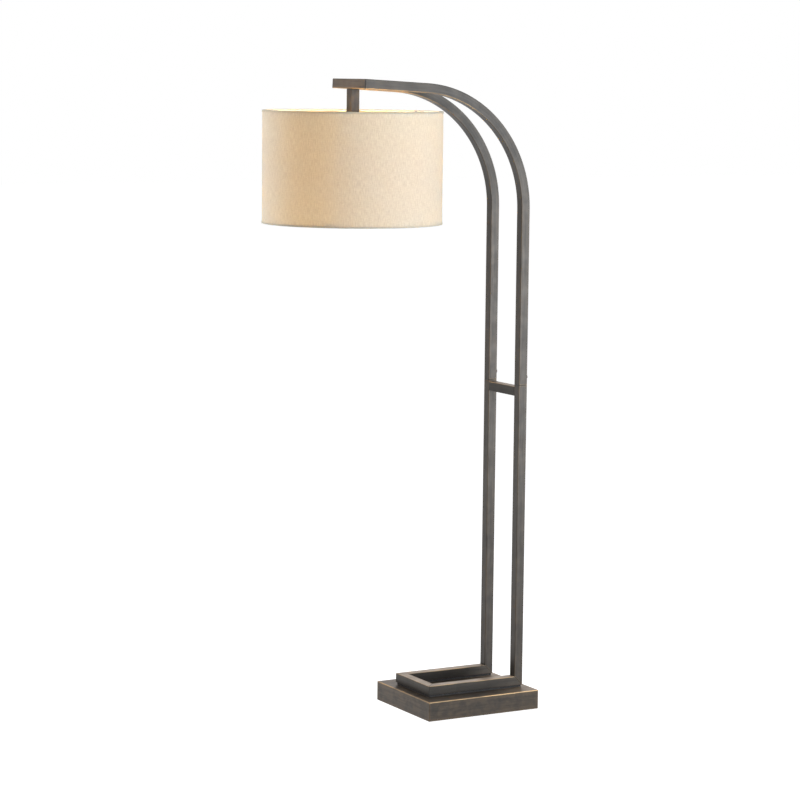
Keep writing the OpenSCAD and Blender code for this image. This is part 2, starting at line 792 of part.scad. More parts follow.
module internal_lead() color(BLACK) {
    normals = lead_normals(0, Z);
    last = len(lead_route) - 1;
    rings = [for (i = [0 : last]) let (t = lead_dir(i), m = normals[i], b = cross(t, m))
        for (k = [0 : lead_sides - 1]) let (a = 360 * k / lead_sides)
            lead_route[i] + lead_d / 2 * (cos(a) * m + sin(a) * b)];
    walls = [for (i = [0 : last - 1], k = [0 : lead_sides - 1]) let (
            a = i * lead_sides + k, b = i * lead_sides + (k + 1) % lead_sides,
            c = b + lead_sides, d = a + lead_sides)
        each [[a, d, b], [b, d, c]]];
    ends = [for (k = [1 : lead_sides - 2]) let (e = last * lead_sides)
        each [[0, k, k + 1], [e, e + k + 1, e + k]]];
    polyhedron(rings, concat(walls, ends));
}

floor_pad();
floor_plate();
floor_plate_screws();
base_weight();
base_cover();
frame_bolts();
bolt_washers();
ring_packing();
rail_nuts();
inlet_grommet();
front_rail();
near_rail();
far_rail();
near_lower_post();
far_lower_post();
cross_bar();
near_joint_insert();
far_joint_insert();
joint_screws();
near_upper_tube();
far_upper_tube();
head_cross_member();
stem();
stem_end_plate();
socket_nipple();
nipple_nuts();
seat_washer();
socket_cap();
socket_body();
screw_shell();
centre_contact();
switch_key();
shade_ring_nut();
bulb_glass();
bulb_cap();
bulb_insulator();
bulb_filament();
spider_hub();
spider_arms();
shade_top_ring();
shade_bottom_ring();
shade_liner();
shade_fabric();
shade_top_hem();
shade_bottom_hem();
internal_lead();
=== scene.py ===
"""Looks of the bridge floor lamp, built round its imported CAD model.

Metres throughout, in the model's own frame: origin on the floor under the base, +Z up, posts
towards +X, shade towards -X, and the photographed side towards -Y.
"""

import math

import bpy
import numpy as np
from mathutils import Matrix, Vector


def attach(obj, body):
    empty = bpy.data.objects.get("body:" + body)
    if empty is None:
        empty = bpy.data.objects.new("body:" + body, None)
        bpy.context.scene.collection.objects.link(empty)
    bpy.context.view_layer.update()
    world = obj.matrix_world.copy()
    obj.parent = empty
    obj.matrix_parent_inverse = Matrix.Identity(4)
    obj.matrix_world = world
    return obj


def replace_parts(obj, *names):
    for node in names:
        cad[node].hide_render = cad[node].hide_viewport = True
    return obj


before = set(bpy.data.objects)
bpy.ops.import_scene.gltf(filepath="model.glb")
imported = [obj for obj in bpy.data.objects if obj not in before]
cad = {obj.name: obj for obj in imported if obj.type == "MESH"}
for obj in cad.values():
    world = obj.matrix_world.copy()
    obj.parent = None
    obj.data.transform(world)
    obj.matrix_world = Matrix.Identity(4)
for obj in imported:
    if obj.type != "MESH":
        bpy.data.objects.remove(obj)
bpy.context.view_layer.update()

TURN = 2 * math.pi
X, Y, Z = np.eye(3)


def into_scene(name, data):
    """A new object that holds data, in the scene."""
    made = bpy.data.objects.new(name, data)
    bpy.context.scene.collection.objects.link(made)
    return made


# ---------------------------------------------------------------- camera

EYE = Vector((-3.5537, -6.0274, 1.6640))
YAW, PITCH, ROLL = (math.radians(a) for a in (29.218, 6.964, -0.599))
FOCAL_PIXELS = 2699.5
IMAGE_PIXELS = 800
SENSOR = 36.0


def make_camera():
    """The photograph's view, from the fitted eye point, three angles and focal length."""
    ahead = Vector((math.sin(YAW) * math.cos(PITCH), math.cos(YAW) * math.cos(PITCH),
                    -math.sin(PITCH)))
    level = Vector((math.cos(YAW), -math.sin(YAW), 0))
    down = ahead.cross(level)
    right = level * math.cos(ROLL) + down * math.sin(ROLL)
    below = down * math.cos(ROLL) - level * math.sin(ROLL)
    lens = bpy.data.cameras.new("camera")
    lens.sensor_width = SENSOR
    lens.lens = FOCAL_PIXELS / IMAGE_PIXELS * SENSOR
    lens.clip_start, lens.clip_end = 0.1, 100
    camera = into_scene("camera", lens)
    turned_to = Matrix((right, -below, -ahead)).transposed().to_4x4()
    camera.matrix_world = Matrix.Translation(EYE) @ turned_to
    bpy.context.scene.camera = camera


make_camera()


# ---------------------------------------------------------------- meshes from grids

COLUMNS = 96
FILLET_STEPS = 5


def skin(name, node, points, wrap=(True, True), tips=(None, None), uv=None, uv_turn=(0, 0),
         seam=None, crease=40):
    """A piece from a grid of points (rows, columns, 3), which stands for a CAD node.

    Face (i, j) joins points (i, j), (i, j+1), (i+1, j+1) and (i+1, j). wrap says whether the last
    row and the last column join the first. A tip is a point that closes the first or the last row
    as a fan. uv (rows, columns, 2) grows by uv_turn past the last row and the last column. seam is
    each point's distance to a seam, for the materials, and crease the angle of a sharp edge. A
    closed shell that came out inside out is turned round.
    """
    rows, columns = points.shape[:2]
    i, j = np.meshgrid(np.arange(rows if wrap[0] else rows - 1),
                       np.arange(columns if wrap[1] else columns - 1), indexing="ij")
    ii = np.stack([i, i, i + 1, i + 1], -1).reshape(-1, 4)
    jj = np.stack([j, j + 1, j + 1, j], -1).reshape(-1, 4)
    quads = (ii % rows) * columns + jj % columns
    flat = points.reshape(-1, 3)
    fans = np.zeros((0, 3), int)
    for tip, row in zip(tips, (0, rows - 1)):
        if tip is not None:
            near = row * columns + np.arange(columns)
            fan = np.stack([near, np.full(columns, len(flat)), np.roll(near, -1)], -1)
            fans = np.vstack([fans, fan if row == 0 else fan[:, ::-1]])
            flat = np.vstack([flat, tip])
    triangles = np.vstack([quads[:, [0, 1, 2]], quads[:, [0, 2, 3]], fans])
    a, b, c = (flat[triangles[:, k]] for k in range(3))
    if np.einsum("ij,ij->i", a, np.cross(b, c)).sum() < 0:
        quads, fans, ii, jj = quads[:, ::-1], fans[:, ::-1], ii[:, ::-1], jj[:, ::-1]
    mesh = bpy.data.meshes.new(name)
    mesh.from_pydata(flat.tolist(), [], quads.tolist() + fans.tolist())
    if uv is not None:
        past = np.stack([ii >= rows, jj >= columns], -1) * np.asarray(uv_turn)
        loops = uv[ii % rows, jj % columns] + past
        loops = np.vstack([loops.reshape(-1, 2), np.zeros((fans.size, 2))])
        mesh.uv_layers.new(name="surface").data.foreach_set("uv", loops.ravel())
    if seam is not None:
        layer = mesh.attributes.new("seam", "FLOAT", "POINT")
        layer.data.foreach_set("value", seam.astype(np.float32).ravel())
    mesh.shade_smooth()
    mesh.set_sharp_from_angle(angle=math.radians(crease))
    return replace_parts(into_scene(name, mesh), node)


def angles(columns):
    """Evenly spaced angles round a circle, in radians."""
    return np.arange(columns) * TURN / columns


def turned(name, node, rows, centre, axis="Z", tips=(False, False), closed=False,
           columns=COLUMNS):
    """A turned piece: each row is a circle of its radius at its height along the axis.

    rows is (radii, heights), with radii (rows, 1) or, where the outline changes round the axis,
    (rows, columns). A tip closes the first or the last row on the axis, and closed joins the last
    row to the first.
    """
    radii, heights = rows
    angle, k = angles(columns), "XYZ".index(axis)
    along = np.broadcast_to(heights[:, None], (len(heights), columns))
    circles = np.stack([radii * np.cos(angle), radii * np.sin(angle), along], -1)
    ends = [centre + np.eye(3)[k] * heights[row] if tip else None
            for tip, row in zip(tips, (0, -1))]
    return skin(name, node, np.roll(circles, k + 1, -1) + np.asarray(centre), (closed, True), ends)


def lathe(name, node, profile, centre, axis="Z", **how):
    """A profile (across, along) turned about an axis through a centre."""
    profile = np.asarray(profile, float)
    return turned(name, node, (profile[:, :1], profile[:, 1]), centre, axis, **how)


def stack(*parts, columns=COLUMNS):
    """Joins rows: each part is (radii, heights), where one number stands for a plain circle."""
    heights = [np.atleast_1d(z) for _, z in parts]
    radii = [np.broadcast_to(np.atleast_2d(r), (len(z), columns))
             for (r, _), z in zip(parts, heights)]
    return np.vstack(radii), np.concatenate(heights)


def soft_profile(corners, radius):
    """The closed profile through corners (n, 2), each rounded by an arc of that radius."""
    corners = np.asarray(corners, float)
    before, after = np.roll(corners, 1, 0), np.roll(corners, -1, 0)
    back = (before - corners) / np.linalg.norm(before - corners, axis=1)[:, None]
    on = (after - corners) / np.linalg.norm(after - corners, axis=1)[:, None]
    half = np.arccos(np.clip((back * on).sum(1), -1, 1)) / 2
    reach = np.asarray(radius) / np.tan(half)
    t = np.linspace(0, 1, FILLET_STEPS + 1)[None, :, None]
    start, end = corners + back * reach[:, None], corners + on * reach[:, None]
    fillets = ((1 - t) ** 2 * start[:, None] + 2 * t * (1 - t) * corners[:, None]
               + t ** 2 * end[:, None])
    return fillets.reshape(-1, 2)


def arc(centre, radius, start, end, steps):
    """Points (across, along) of an arc about a centre, between two angles in degrees."""
    a = np.radians(np.linspace(start, end, steps + 1))
    return np.stack([centre[0] + radius * np.cos(a), centre[1] + radius * np.sin(a)], -1)


# ---------------------------------------------------------------- square tubes

HALF, BORE_HALF, TUBE_R, BORE_R = 0.0122, 0.0110, 0.0014, 0.0002
RING_X0, RING_X1, RING_Z = -0.137, 0.147, 0.0682
SIDE_Y, POST_X = 0.0885 - HALF, RING_X1 - HALF
SEAM_Z, BEND_R, BEND = 0.853, 0.310, math.radians(87)
BAR_Z = SEAM_Z - 0.0054 - HALF
HEAD = np.array([POST_X - 0.462, 0, 1.629])
RISE = math.pi / 2 - BEND
ARM = (POST_X - HEAD[0] - BEND_R * (1 - math.cos(BEND))) / math.cos(RISE)
BEND_Z = HEAD[2] - ARM * math.sin(RISE) - BEND_R * math.sin(BEND)
STEM_Z0 = 1.546
STEM_TOP = HALF / math.cos(RISE)
BREAK = 0.00035

ALONG_ARM = -X * math.cos(RISE) + Z * math.sin(RISE)
TOP_OF_ARM = X * math.sin(RISE) + Z * math.cos(RISE)

# a quarter of the way round a tube's outside, and the steps of a side's points between its corners
QUARTER = TUBE_R * math.pi / 2 + 2 * (HALF - TUBE_R)
SIDE_STEPS = np.array([0.25, 0.6, 1.1, 2.2, 4.5, 6.8, 7.9, 8.4, 8.75]) / 9
# distances in from a tube's end, where its rows lie close
END_ROWS = np.array([0, BREAK, 0.001, 0.002, 0.004, 0.008])
PLAIN_FROM = 0.03
SEAM_REACH_MM = 12


def tube_outline(half, radius):
    """A rounded square from the middle of a corner, as complex numbers: a corner arc, then a side.

    One quarter is worked out, and the other three are that quarter times 1j, 1j squared and so on.
    """
    flat = half - radius
    first, last = np.radians([45, 60, 75, 90]), np.radians([90, 105, 120])
    quarter = np.concatenate([flat * (1 + 1j) + radius * np.exp(1j * first),
                              flat - 2 * flat * SIDE_STEPS + 1j * half,
                              flat * (-1 + 1j) + radius * np.exp(1j * last)])
    return (1j ** np.arange(4)[:, None] * quarter).ravel()


def round_tube():
    """How far each point of tube_outline is round the outside of the tube."""
    first, last = np.radians([0, 15, 30, 45]), np.radians([45, 60, 75])
    flat = 2 * (HALF - TUBE_R)
    quarter = np.concatenate([TUBE_R * first, TUBE_R * math.pi / 4 + flat * SIDE_STEPS,
                              flat + TUBE_R * last])
    return (np.arange(4)[:, None] * QUARTER + quarter).ravel()


def bent_line(s, start, along, turn, straight, radius, sweep):
    """A line that is straight, then bent, then straight again: its points and directions at s.

    With a = clip((s - straight) / R, 0, sweep), T = cos a A + sin a B and N = sin a A - cos a B:
    P = start + min(s, straight) A + R (sin a A + (1 - cos a) B) + max(s - straight - R sweep, 0) T
    """
    s = s[:, None]
    a = np.clip((s - straight) / radius, 0, sweep)
    tangent = np.cos(a) * along + np.sin(a) * turn
    outward = np.sin(a) * along - np.cos(a) * turn
    place = (start + np.minimum(s, straight) * along
             + radius * (np.sin(a) * along + (1 - np.cos(a)) * turn)
             + np.maximum(s - straight - radius * sweep, 0) * tangent)
    return place, tangent, outward


def square_tube(name, node, start, along, turn, length, cuts=(None, None), straight=9.0,
                sweep=0.0):
    """A hollow square tube carried along a bent line and cut by a plane at each end.

    A cut is the plane's normal, through the line's own end. A point at offset d from the line
    slides along it by -(d . n) / (T . n) to reach that plane. The rows run up the outside and
    back down the bore, and the first and last are drawn in a little to break the edge.
    """
    bend = straight + BEND_R * sweep * np.linspace(0, 1, 61) if sweep else [length / 2]
    s = np.concatenate([END_ROWS, [PLAIN_FROM], bend, [length - PLAIN_FROM],
                        length - END_ROWS[::-1]])
    place, tangent, outward = bent_line(s, start, along, turn, straight, BEND_R, sweep)
    side = np.cross(tangent[0], outward[0])
    row, at_end = np.arange(len(s)), len(END_ROWS)
    drawn_in = np.where((row == 0) | (row == len(s) - 1), 1 - BREAK / HALF, 1.0)
    layers, reached = [], []
    for outline, scale, order in ((tube_outline(HALF, TUBE_R), drawn_in, 1),
                                  (tube_outline(BORE_HALF, BORE_R), np.ones(len(s)), -1)):
        section = scale[:, None] * outline
        offset = section.real[..., None] * outward[:, None] + section.imag[..., None] * side
        slide = np.zeros(section.shape)
        for cut, near in zip(cuts, (row < at_end, row >= len(s) - at_end)):
            if cut is not None:
                slide[near] = -(offset[near] @ cut) / (tangent[near] @ cut)[:, None]
        layers.append((place[:, None] + offset + slide[..., None] * tangent[:, None])[::order])
        reached.append((s[:, None] + slide)[::order])
    s_along = np.vstack(reached)
    uv = np.stack([s_along, np.broadcast_to(round_tube(), s_along.shape)], -1)
    seam = np.minimum(np.minimum(s, length - s) * 1000, SEAM_REACH_MM)
    seam = np.concatenate([seam, seam[::-1]])[:, None] * np.ones(s_along.shape)
    return skin(name, node, np.vstack(layers), uv=uv, uv_turn=(0, 4 * QUARTER), seam=seam,
                crease=35)


def plane_between(into, out_of):
    """The normal of the mitre plane between two directions of travel."""
    normal = into + out_of
    return normal / np.linalg.norm(normal)


def make_tubes():
    """The ring, the posts, the arms, the cross bar, the head and the stem."""
    square_tube("ring_front_rail", "front_rail", np.array([RING_X0 + HALF, -SIDE_Y, RING_Z]), Y,
                -X, 2 * SIDE_Y, (plane_between(-X, Y), plane_between(Y, X)))
    square_tube("post_cross_bar", "cross_bar", np.array([POST_X, HALF - SIDE_Y, BAR_Z]), Y, -X,
                2 * (SIDE_Y - HALF))
    square_tube("head_cross_tube", "head_cross_member", HEAD - SIDE_Y * Y, Y, -TOP_OF_ARM,
                2 * SIDE_Y, (plane_between(ALONG_ARM, Y), plane_between(Y, -ALONG_ARM)))
    square_tube("shade_stem", "stem", HEAD - STEM_TOP * Z, -Z, -X, HEAD[2] - STEM_TOP - STEM_Z0,
                (TOP_OF_ARM, None))
    for side, y in (("near", -1), ("far", 1)):
        foot = np.array([POST_X, y * SIDE_Y, RING_Z])
        square_tube(f"ring_{side}_rail", f"{side}_rail",
                    np.array([RING_X0 + HALF, y * SIDE_Y, RING_Z]), X, -Z,
                    RING_X1 - RING_X0 - 2 * HALF, (plane_between(y * Y, X), plane_between(X, Z)))
        square_tube(f"{side}_post", f"{side}_lower_post", foot, Z, -X, SEAM_Z - RING_Z,
                    (plane_between(X, Z), None))
        square_tube(f"{side}_arm", f"{side}_upper_tube", foot + (SEAM_Z - RING_Z) * Z, Z, -X,
                    BEND_Z - SEAM_Z + BEND_R * BEND + ARM,
                    (None, plane_between(ALONG_ARM, -y * Y)), BEND_Z - SEAM_Z, BEND)


# ---------------------------------------------------------------- turned pieces

SOCKET = np.array([HEAD[0], 0, 0])
FLANGE_Z0, HOUSING_Z0, CAP_Z0, CAP_Z1 = 1.5055, 1.5085, 1.5285, 1.5445
SLEEVE_Z0, WELL_Z1, BULB_Z0, BULB_R = 1.4735, 1.5035, 1.3923, 0.030
BULB_Z = BULB_Z0 + BULB_R
SCREW_RISE = 0.02
GROMMET = (0.165, 0, 0.014)
KEY = (HEAD[0], 0, 1.5185)
KEY_SEAT = 0.020
NUT_TOP, NUT_LOW = 1.5037, 1.4967
BULB_PITCH = 0.0036


def make_joint_screws():
    """Cap screws with a hexagonal socket, one in the back of each upper tube.

    The head's side is knurled, r = 0.005 - 0.00012 (1 + cos 36 angle), between two plain rims. The
    socket's radius is half its width over the cosine of the angle to its nearest flat.
    """
    columns = 3 * COLUMNS
    angle = angles(columns)
    knurl = 0.005 - 0.00012 * (1 + np.cos(36 * angle))
    socket = 0.0025 / np.cos((angle + math.pi / 6) % (math.pi / 3) - math.pi / 6)
    rows = stack((0.003, (-0.0035, 0.0)), (0.0046, 0.0), (0.0049, 0.0003), (0.005, 0.0008),
                 (knurl, 0.0011), (knurl, 0.0047), (0.005, 0.0050), (0.005, 0.0054),
                 (0.0048, 0.0058), (0.0045, 0.0060), (socket + 0.0002, 0.0060), (socket, 0.0058),
                 (socket, 0.0031), (socket * 0.1, 0.0028), columns=columns)
    for side, y in (("near", -1), ("far", 1)):
        turned(f"{side}_joint_screw", "joint_screws", rows,
               (RING_X1, y * SIDE_Y, SEAM_Z + SCREW_RISE), "X", (True, True), columns=columns)


def make_grommet():
    """A rubber grommet: two round-edged flanges with the cover's wall between them."""
    profile = soft_profile([(0.00305, -0.0044), (0.0085, -0.0044), (0.0085, -0.002),
                            (0.00625, -0.002), (0.00625, 0), (0.0085, 0), (0.0085, 0.0024),
                            (0.00305, 0.0024)],
                           [0.0006, 0.0009, 0.0009, 0.0002, 0.0002, 0.0009, 0.0009, 0.0008])
    lathe("inlet_grommet_rubber", "inlet_grommet", profile, GROMMET, "X", closed=True)


def thread(radius, depth, pitch, z0, z1):
    """A screw thread's rows: r = radius - depth (1 + cos(turns)) / 2.

    The turns are z / pitch less the angle, and the depth fades out over the run-out at each end.
    """
    run_out, rows_a_turn = 0.002, 8
    z = np.linspace(z0, z1, int(abs(z1 - z0) / pitch * rows_a_turn) + 1)
    fade = np.clip(np.minimum(abs(z - z0), abs(z - z1)) / run_out, 0, 1)
    wave = 0.5 + 0.5 * np.cos(TURN * z[:, None] / pitch - angles(COLUMNS))
    return radius - depth * fade[:, None] * wave, z


def make_socket():
    """The socket's cap, its body with the threaded sleeve, and the contacts inside."""
    lathe("socket_cap_shell", "socket_cap",
          soft_profile([(0.0053, CAP_Z1), (0.019, CAP_Z1), (0.019, CAP_Z0), (0.0174, CAP_Z0),
                        (0.0174, CAP_Z1 - 0.0016), (0.0053, CAP_Z1 - 0.0016)],
                       [0.0003, 0.0032, 0.0004, 0.0003, 0.0018, 0.0003]), SOCKET, closed=True)
    turned("socket_body_shell", "socket_body", stack(
        (0.0006, CAP_Z0 + 0.005), *arc((0.0165, CAP_Z0 + 0.0043), 0.0007, 90, 0, 4),
        (0.0172, CAP_Z0), (0.0196, CAP_Z0), *arc((0.0192, CAP_Z0 - 0.0008), 0.0008, 90, 0, 4),
        (0.0200, HOUSING_Z0 + 0.0006), (0.0202, HOUSING_Z0 + 0.0001),
        *arc((0.0233, HOUSING_Z0 - 0.0007), 0.0007, 90, 0, 4),
        (0.0240, FLANGE_Z0 + 0.0004), (0.0237, FLANGE_Z0 + 0.0001), (0.0192, FLANGE_Z0),
        thread(0.019, 0.0009, 0.0026, FLANGE_Z0 - 0.0003, SLEEVE_Z0 + 0.0006),
        (0.0186, SLEEVE_Z0), (0.0143, SLEEVE_Z0), (0.0140, SLEEVE_Z0 + 0.0004),
        (0.0140, WELL_Z1), (0.0006, WELL_Z1)), SOCKET, tips=(True, True))
    turned("lamp_screw_shell", "screw_shell", stack(
        (0.01345, SLEEVE_Z0 + 0.001), (0.0139, SLEEVE_Z0 + 0.001),
        thread(0.0139, 0.0007, BULB_PITCH, SLEEVE_Z0 + 0.0015, WELL_Z1 - 0.0022),
        (0.0135, WELL_Z1 - 0.0022),
        thread(0.0135, 0.0007, BULB_PITCH, WELL_Z1 - 0.0022, SLEEVE_Z0 + 0.0015)),
        SOCKET, closed=True)
    lathe("lamp_centre_contact", "centre_contact",
          [(0.0005, WELL_Z1), (0.0044, WELL_Z1), (0.0044, WELL_Z1 - 0.0006),
           (0.0036, WELL_Z1 - 0.0007), (0.0028, WELL_Z1 - 0.0011), (0.0005, WELL_Z1 - 0.0012)],
          SOCKET, tips=(True, True))


def make_key():
    """The switch key: a spindle, a collar, a ribbed barrel and a crowned end.

    The barrel's radius is r0 - depth |cos(6 angle)|, which gives twelve round ribs.
    """
    barrel = 0.0055 - 0.00045 * np.abs(np.cos(6 * angles(COLUMNS)))
    radii, out = stack((0.002, -0.0012), (0.002, 0.0015), (0.0050, 0.0015), (0.0055, 0.0019),
                       (0.0055, 0.0041), (0.0051, 0.0045), (barrel - 0.0004, 0.0046),
                       (barrel, 0.0050), (barrel, 0.0136), (barrel - 0.0003, 0.0140),
                       (0.0047, 0.0141), (0.0040, 0.0144), (0.0024, 0.0145), (0.0020, 0.0143))
    turned("switch_key_knob", "switch_key", (radii, -(KEY_SEAT + out)), KEY, "Y", (True, True))


def make_ring_nut():
    """The shade ring: a round nut with twelve finger grips.

    Round the grips, r = R - depth w to the power 2.5, where w = (1 + cos(12 angle)) / 2.
    """
    columns = 2 * COLUMNS
    grip = 0.025 - 0.0016 * (0.5 + 0.5 * np.cos(12 * angles(columns))) ** 2.5
    rows = stack((0.0191, NUT_TOP), (0.0243, NUT_TOP), (0.0249, NUT_TOP - 0.0005),
                 (0.0250, NUT_TOP - 0.0014), (grip, NUT_TOP - 0.0020), (grip, NUT_LOW + 0.0007),
                 (grip - 0.0007, NUT_LOW), (0.0196, NUT_LOW), (0.0191, NUT_LOW + 0.0005),
                 columns=columns)
    turned("shade_ring_nut_body", "shade_ring_nut", rows, SOCKET, closed=True, columns=columns)


def make_bulb():
    """The bulb: a frosted glass pear, its threaded cap, the black insulator and the filament.

    The glass is an arc from its tip up to 32 degrees above its middle, then a curve into the neck.
    """
    neck, wall, spread = 0.0125, 0.0008, math.radians(32)
    shoulder = (BULB_R * math.cos(spread) - neck) / math.sin(spread)
    corner_z = BULB_Z + BULB_R * math.sin(spread) + shoulder * math.cos(spread)
    globe = arc((0, BULB_Z), BULB_R, -88, 32, 48)
    t = np.linspace(0, 1, 13)[1:, None]
    curve = ((1 - t) ** 2 * globe[-1] + 2 * t * (1 - t) * np.array([neck, corner_z - 0.001])
             + t ** 2 * np.array([neck, corner_z + 0.004]))
    outside = np.vstack([globe, curve, [(neck, 1.4843)]])
    across, up = outside[::-1].T
    inside = np.stack([np.maximum(across - wall, 0.0004),
                       np.where(up < BULB_Z - 0.02, up + 0.0006, up)], -1)
    lathe("bulb_glass_pear", "bulb_glass", np.vstack([outside, inside]), SOCKET,
          tips=(True, True))
    turned("bulb_screw_cap", "bulb_cap", stack(
        (0.0128, 1.4763), (0.0131, 1.4765), (0.0131, 1.4779),
        thread(0.0132, 0.0008, BULB_PITCH, 1.4783, 1.4975), (0.0130, 1.4985), (0.0122, 1.4993),
        (0.0005, 1.4993), (0.0005, 1.4989), (0.0118, 1.4989), (0.0126, 1.4980),
        (0.0126, 1.4763)), SOCKET, closed=True)
    lathe("bulb_tip_insulator", "bulb_insulator",
          [(0.0005, 1.4993), (0.0122, 1.4993), (0.0118, 1.4996), (0.0098, 1.5005),
           (0.0070, 1.5013), (0.0045, 1.5014), (0.0043, 1.5021), (0.0036, 1.5023),
           (0.0005, 1.5023)], SOCKET, tips=(True, True))
    coil_z = BULB_Z + 0.014
    lathe("bulb_filament_core", "bulb_filament",
          [(0.0005, 1.4983), (0.003, 1.4983), (0.0026, 1.4700), (0.003, coil_z + 0.004),
           (0.0075, coil_z + 0.002), (0.008, coil_z + 0.001), (0.0075, coil_z),
           (0.0055, coil_z), (0.0050, BULB_Z - 0.014), (0.0045, BULB_Z - 0.0145),
           (0.0005, BULB_Z - 0.0145)], SOCKET, tips=(True, True))


# ---------------------------------------------------------------- shade

SHADE_Z0, SHADE_Z1 = 1.278, 1.562
RING_R, WIRE, TOP_RING_Z, LOW_RING_Z = 0.225, 0.002, 1.5593, 1.2807
PANEL_Z0, PANEL_Z1 = SHADE_Z0 + 0.0006, SHADE_Z1 - 0.0006
SPIDER_Z, SPIDER_FLAT, SPIDER_BEND = 1.5046, 0.062, 0.010
SPIDER_FOOT, FIRST_ARM = 0.0262, 14
SEAM_AT, LAP = math.radians(62), 0.012
CLOTH, GLUE, PANEL_R = 0.00036, 0.00002, 0.228
LINER_IN, LINER_OUT, LINEN_IN = 0.2271, 0.2276, 0.22774
HEM_OUT, HEM_IN, HEM_UV_R = 0.2291, 0.2286, 0.229
WELD_AT, WELD_SWELL, WELD_WIDTH = SEAM_AT + 0.4, 0.07, 0.012
WIRE_GAP = 0.0003


def wire_ring(name, node, z):
    """A shade ring: a wire's circle carried round, swollen a little where its ends are welded.

    The wire's radius is r (1 + swell e^(-(a / width) squared)) at angle a from the weld, and its
    centre moves in by as much as it swells.
    """
    a, b = angles(360), angles(16)
    weld = WELD_SWELL * np.exp(-(((a - WELD_AT + math.pi) % TURN - math.pi) / WELD_WIDTH) ** 2)
    thick = WIRE * (1 + weld)[:, None]
    r = RING_R - WIRE * weld[:, None] + thick * np.cos(b)
    skin(name, node, np.stack([HEAD[0] + r * np.cos(a)[:, None], r * np.sin(a)[:, None],
                               z + thick * np.sin(b)], -1))


def make_spider():
    """The hub, a pressed washer with a rolled rim, and three wires bent from it to the top ring."""
    lathe("spider_hub_plate", "spider_hub",
          soft_profile([(0.01905, SPIDER_Z - 0.0008), (0.027, SPIDER_Z - 0.0008),
                        (0.027, SPIDER_Z + 0.0008), (0.01905, SPIDER_Z + 0.0008)],
                       [0.0003, 0.0007, 0.0007, 0.0003]), SOCKET, closed=True)
    rise, out = TOP_RING_Z - SPIDER_Z, RING_R - WIRE - WIRE_GAP - SPIDER_FLAT
    slope = math.atan2(rise, out)
    knee = SPIDER_BEND * math.tan(slope / 2)
    straight = SPIDER_FLAT - knee - SPIDER_FOOT
    length = straight + SPIDER_BEND * slope + math.hypot(rise, out) - knee
    s = np.concatenate([[0, 0.0004], np.linspace(0.002, straight, 6),
                        straight + SPIDER_BEND * slope * np.linspace(0.1, 1, 10),
                        np.linspace(length - 0.1, length - 0.0004, 6), [length]])
    thick = np.full((len(s), 1, 1), WIRE)
    thick[[0, -1]] *= 0.8
    b = angles(16)[:, None]
    for k in range(3):
        a = math.radians(FIRST_ARM + 120 * k)
        radial = np.array([math.cos(a), math.sin(a), 0])
        place, tangent, outward = bent_line(s, SOCKET + SPIDER_FOOT * radial + SPIDER_Z * Z,
                                            radial, Z, straight, SPIDER_BEND, slope)
        across = np.cross(tangent, outward)
        points = place[:, None] + thick * (np.cos(b) * outward[:, None]
                                           + np.sin(b) * across[:, None])
        skin(f"spider_wire_{k}", "spider_arms", points, (False, True), (place[0], place[-1]))


def make_liner():
    """The film inside the linen: a thin drum, its two long edges left square."""
    up = np.linspace(PANEL_Z0, PANEL_Z1, 9)
    lathe("shade_liner_film", "shade_liner",
          [(LINER_IN, z) for z in up] + [(LINER_OUT, z) for z in up[::-1]], SOCKET, closed=True,
          columns=3 * COLUMNS)


def make_linen():
    """The linen: one strip wrapped round the liner, its last edge glued over its first.

    Its inner radius is r0 + (cloth + glue) s, where s rises smoothly from 0 to 1 as the strip
    climbs on to its own start. Its thickness is the cloth's, and its UV map is metres along and up
    the strip.
    """
    whole, fine_from, climb_from, climb_turn = TURN + LAP / PANEL_R, TURN - 0.06, TURN - 0.05, 0.045
    angle = np.concatenate([np.linspace(0, fine_from, 421)[:-1],
                            np.linspace(fine_from, whole, 33)])
    climb = np.clip((angle - climb_from) / climb_turn, 0, 1)
    r_in = LINEN_IN + (CLOTH + GLUE) * climb ** 2 * (3 - 2 * climb)
    z = np.linspace(PANEL_Z0, PANEL_Z1, 25)
    r = np.repeat(np.stack([r_in + CLOTH, r_in], 1), len(z), 1)
    height = np.broadcast_to(np.concatenate([z, z[::-1]]), r.shape)
    at = (angle + SEAM_AT)[:, None]
    points = np.stack([HEAD[0] + r * np.cos(at), r * np.sin(at), height], -1)
    uv = np.stack([np.broadcast_to(angle[:, None] * PANEL_R, r.shape), height - PANEL_Z0], -1)
    ends = [points[k].mean(0) for k in (0, -1)]
    return skin("shade_linen", "shade_fabric", points, (False, True), ends, uv)


